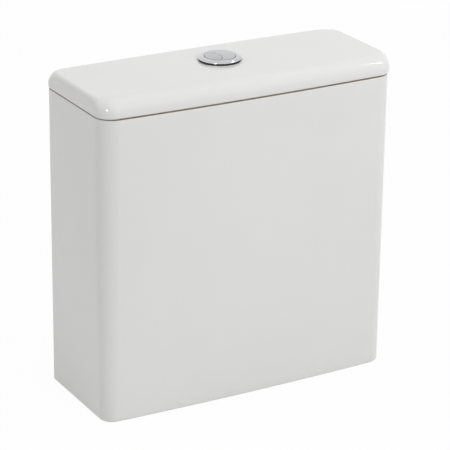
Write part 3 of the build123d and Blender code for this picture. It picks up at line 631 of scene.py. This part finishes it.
lidSizes = {
    "bow": 4 * mm,
    "crown": 1 * mm,
    "edgeRadius": 16.5 * mm,
    "sideEdgeRadius": 5.5 * mm,
    "edgeEase": (6 * mm, 30 * mm),  # from the front or the back: where the large edge starts and ends to fade
    "frontCorner": 19.5 * mm,
    "backCorner": 14 * mm,
    "innerCornerLeast": 9 * mm,
    "lowerEdgeRadius": 3 * mm,
    "seatGap": 0.6 * mm,  # the lid clears the rim outside its seat
    "seatInset": 5 * mm,
    "shell": 10 * mm,
    "wall": 18 * mm,
    "lipWidth": 6 * mm,
    "cavityRadius": 6 * mm,
    "lipRadius": 1 * mm,
    "holeRadius": 21 * mm,
    "holeEdge": 0.6 * mm,
    "holeBand": 0.006,  # a last row this share of the way out keeps the hole's edge crisp
    "columns": 320,
    "cornerShare": 0.4,
    "edgeSteps": 20,
    "longestRun": 6 * mm,
    "topRows": 18,
}


def makeLid():
    size = lidSizes
    seat = tankHigh.z
    top = lidHigh.z
    under = top - size["shell"]
    front = lidLow.y + size["bow"]
    lipInset = size["wall"] - size["lipWidth"]
    corners = [
        (size["wall"] + size["cavityRadius"], under, 0),
        (size["wall"], under, size["cavityRadius"]),
        (size["wall"], lidLow.z, size["lipRadius"]),
        (lipInset, lidLow.z, size["lipRadius"]),
        (lipInset, seat, size["lipRadius"] / 2),
        (size["seatInset"], seat, size["seatGap"] / 4),
        (size["seatInset"], seat + size["seatGap"], size["seatGap"] / 4),
        (0, seat + size["seatGap"], size["lowerEdgeRadius"]),
        (0, top, size["edgeRadius"]),
        (size["edgeRadius"], top, 0),
    ]
    rows = [(row.x, 1, row.y) for row in roundedPath(corners, size["edgeSteps"], size["longestRun"])]
    wallLow = seat + size["seatGap"] + size["lowerEdgeRadius"]
    close = shellDetail["weld"]
    edge = size["edgeRadius"]
    edges = [float(row[2] > wallLow - close and row[0] <= edge + close) for row in rows]
    count = size["topRows"]
    shares = [1 - step / count for step in range(1, count)] + [size["holeBand"]]
    topRows = [(edge, share, top) for share in shares]
    holeRows = [(edge, 0, top - size["holeEdge"]), (edge, 0, under + size["holeEdge"])]
    ceilingInset = size["wall"] + size["cavityRadius"]
    ceilingRows = [(ceilingInset, step / count, under) for step in range(count + 1)]
    edges += [1.0] * len(topRows) + [0.0] * (len(holeRows) + len(ceilingRows))
    rows += topRows + holeRows + ceilingRows
    values = {
        "Top height": top,
        "Top half width": lidHigh.x,
        "Base half width": lidHigh.x,
        "Back": lidHigh.y,
        "Top front": front,
        "Base front": front,
        "Front bow": size["bow"],
        "Base front corner": size["frontCorner"],
        "Top front corner": size["frontCorner"],
        "Base back corner": size["backCorner"],
        "Top back corner": size["backCorner"],
        "Inner corner least": size["innerCornerLeast"],
        "Hole x": 0.0,
        "Hole y": valveY,
        "Hole radius": size["holeRadius"],
        "Crown": size["crown"],
        "Crown start": wallLow,
        "Crown full": top - edge,
        "Edge radius": edge,
        "Edge height": top - wallLow,
        "Side edge share": size["sideEdgeRadius"] / edge,
        "Ease start": size["edgeEase"][0],
        "Ease end": size["edgeEase"][1],
    }
    tree = shellTree("lidShell", size["columns"], size["cornerShare"], values, [], (), finishes["lidGlaze"])
    lid = grow(profileMesh("lidProfile", rows, edges), tree, values, "lid")
    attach(lid, "lid")
    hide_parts("cistern_lid")


makeTank()
makeLid()
print("tank and lid grown")

springSizes = {
    "wire": 0.9 * mm,
    "radius": 5.4 * mm,
    "turns": 6,
    "stepsPerTurn": 48,
    "wireSteps": 16,
    "travel": 8 * mm,  # how far a button presses it
}


def springTree():
    # a wound wire on each point of the host
    tree, wire, size = startTree("buttonSpring", ("Radius", "Wire radius", "Turns", "Height"))
    coil = wire.node(
        "GeometryNodeCurveSpiral",
        {"Resolution": springSizes["stepsPerTurn"], "Rotations": size["Turns"], "Height": size["Height"],
         "Start Radius": size["Radius"], "End Radius": size["Radius"]},
    )
    section = wire.node(
        "GeometryNodeCurvePrimitiveCircle",
        {"Resolution": springSizes["wireSteps"], "Radius": size["Wire radius"]},
    )
    tube = wire.node("GeometryNodeCurveToMesh", {"Curve": coil, "Profile Curve": section, "Fill Caps": True})
    placed = wire.node("GeometryNodeInstanceOnPoints", {"Points": size["Host"], "Instance": tube})
    finishTree(placed, finishes["spring_steel"])
    return tree


def makeSprings():
    size = springSizes
    tree = springTree()
    for half in ("full", "half"):
        node = f"{half}_button_spring"
        low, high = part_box(node)
        start = Vector(((low.x + high.x) / 2, (low.y + high.y) / 2, low.z + size["wire"] / 2))
        values = {
            "Radius": size["radius"],
            "Wire radius": size["wire"] / 2,
            "Turns": float(size["turns"]),
            "Height": high.z - low.z - size["wire"],
        }
        place = profileMesh(f"{half}SpringPlace", [start])
        spring = grow(place, tree, values, f"{half}ButtonSpring")
        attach(spring, f"{half}_button")
        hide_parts(node)
        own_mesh(spring)


makeSprings()
print("button springs wound")

stageLook = {
    "floorSide": 16,  # metres
    "floorDrop": 0.2 * mm,  # just clear of the base rim
    "floorGrey": (0.76, 0.76, 0.76, 1),
    "floorGlow": 0.97,  # share of plain white where the floor is seen, the rest takes the shadow
    "worldLight": 0.55,
    "lampTarget": Vector((0, 0, 0.19)),  # the cistern's middle
}


def seenDirectly(wire):
    # 1 on the way to the camera, also by a mirror or through glass
    path = wire.node("ShaderNodeLightPath")
    camera, glossy, glass = path.outs("Is Camera Ray", "Is Glossy Ray", "Is Transmission Ray")
    return camera.most(glossy).most(glass)


def makeFloor():
    look = stageLook
    side = look["floorSide"] / 2
    mesh = bpy.data.meshes.new("floor")
    corners = [(-side, -side, 0), (side, -side, 0), (side, side, 0), (-side, side, 0)]
    mesh.from_pydata(corners, [], [(0, 1, 2, 3)])
    floor = bpy.data.objects.new("floor", mesh)
    floor.location.z = -look["floorDrop"]
    bpy.context.scene.collection.objects.link(floor)
    material = bpy.data.materials.new("paleFloor")
    material.use_nodes = True
    tree = material.node_tree
    tree.nodes.remove(tree.nodes["Principled BSDF"])
    wire = Wire(tree)
    matt = wire.node("ShaderNodeBsdfDiffuse", {"Color": look["floorGrey"]})
    glow = wire.node("ShaderNodeEmission", {"Color": (1, 1, 1, 1), "Strength": 1})
    mixed = wire.node("ShaderNodeMixShader", {0: seenDirectly(wire) * look["floorGlow"], 1: matt, 2: glow})
    tree.links.new(mixed.socket, tree.nodes["Material Output"].inputs["Surface"])
    mesh.materials.append(material)


def makeRoom():
    # white where it is seen, and a dimmer light on the cistern
    world = bpy.data.worlds.new("paleRoom")
    bpy.context.scene.world = world
    world.use_nodes = True
    tree = world.node_tree
    background = tree.nodes["Background"]
    background.inputs["Color"].default_value = (1, 1, 1, 1)
    light = stageLook["worldLight"]
    level = seenDirectly(Wire(tree)) * (1 - light) + light
    tree.links.new(level.socket, background.inputs["Strength"])


def outward(turn, lift):
    # the direction at an azimuth and an elevation, where 0, 0 is straight ahead of the cistern's front
    return Vector((math.sin(turn) * math.cos(lift), -math.cos(turn) * math.cos(lift), math.sin(lift)))


lamps = {  # azimuth and elevation in degrees, seen from the cistern; only the glints show in the glaze
    "topSoftbox": {"from": (60, 68), "away": 2.4, "size": 2.2, "power": 17.5, "mirrored": False},
    "frontSoftbox": {"from": (17, 32), "away": 2.9, "size": 1.5, "power": 25, "mirrored": False},
    "leftSoftbox": {"from": (-98, 30), "away": 2.8, "size": 1.2, "power": 6.8, "mirrored": False},
    "leftGlint": {"from": (-53, 26), "away": 3.0, "size": 0.5, "power": 16, "mirrored": True},
    "rightGlint": {"from": (60.1, 41), "away": 3.0, "size": 0.4, "power": 14, "mirrored": True},
}


def makeLamps():
    for name, lamp in lamps.items():
        toLamp = outward(*(math.radians(angle) for angle in lamp["from"]))
        data = bpy.data.lights.new(name, "AREA")
        data.shape = "SQUARE"
        data.size = lamp["size"]
        data.energy = lamp["power"]
        made = bpy.data.objects.new(name, data)
        made.location = stageLook["lampTarget"] + toLamp * lamp["away"]
        made.rotation_euler = toLamp.to_track_quat("Z", "Y").to_euler()
        made.visible_glossy = lamp["mirrored"]
        made.visible_diffuse = not lamp["mirrored"]
        bpy.context.scene.collection.objects.link(made)


view = {
    "azimuth": -29.345,
    "elevation": 21.419,
    "roll": 0.542,
    "distance": 2.56828,
    "lookAt": Vector((0, 0.00208, 0.1794)),
    "focalPixels": 2225.58,
    "framePixels": 450,
    "shift": (4.844, 3.089),  # pixels right and up
    "sensorWidth": 36,
    "farthest": 50,
}


def makeCamera():
    turn, lift, roll = (math.radians(view[key]) for key in ("azimuth", "elevation", "roll"))
    back = outward(turn, lift)
    right = Vector((math.cos(turn), math.sin(turn), 0))
    up = back.cross(right)
    rolledRight = right * math.cos(roll) + up * math.sin(roll)
    rolledUp = up * math.cos(roll) - right * math.sin(roll)
    data = bpy.data.cameras.new("camera")
    data.sensor_width = view["sensorWidth"]
    data.lens = view["focalPixels"] * view["sensorWidth"] / view["framePixels"]
    data.shift_x, data.shift_y = (pixels / view["framePixels"] for pixels in view["shift"])
    data.clip_end = view["farthest"]
    camera = bpy.data.objects.new("camera", data)
    turned = Matrix((rolledRight, rolledUp, back)).transposed().to_4x4()
    camera.matrix_world = Matrix.Translation(view["lookAt"] + back * view["distance"]) @ turned
    bpy.context.scene.collection.objects.link(camera)
    bpy.context.scene.camera = camera


makeFloor()
makeRoom()
makeLamps()
makeCamera()
bpy.context.scene.view_settings.view_transform = "Standard"
print("stage, lamps and camera set")
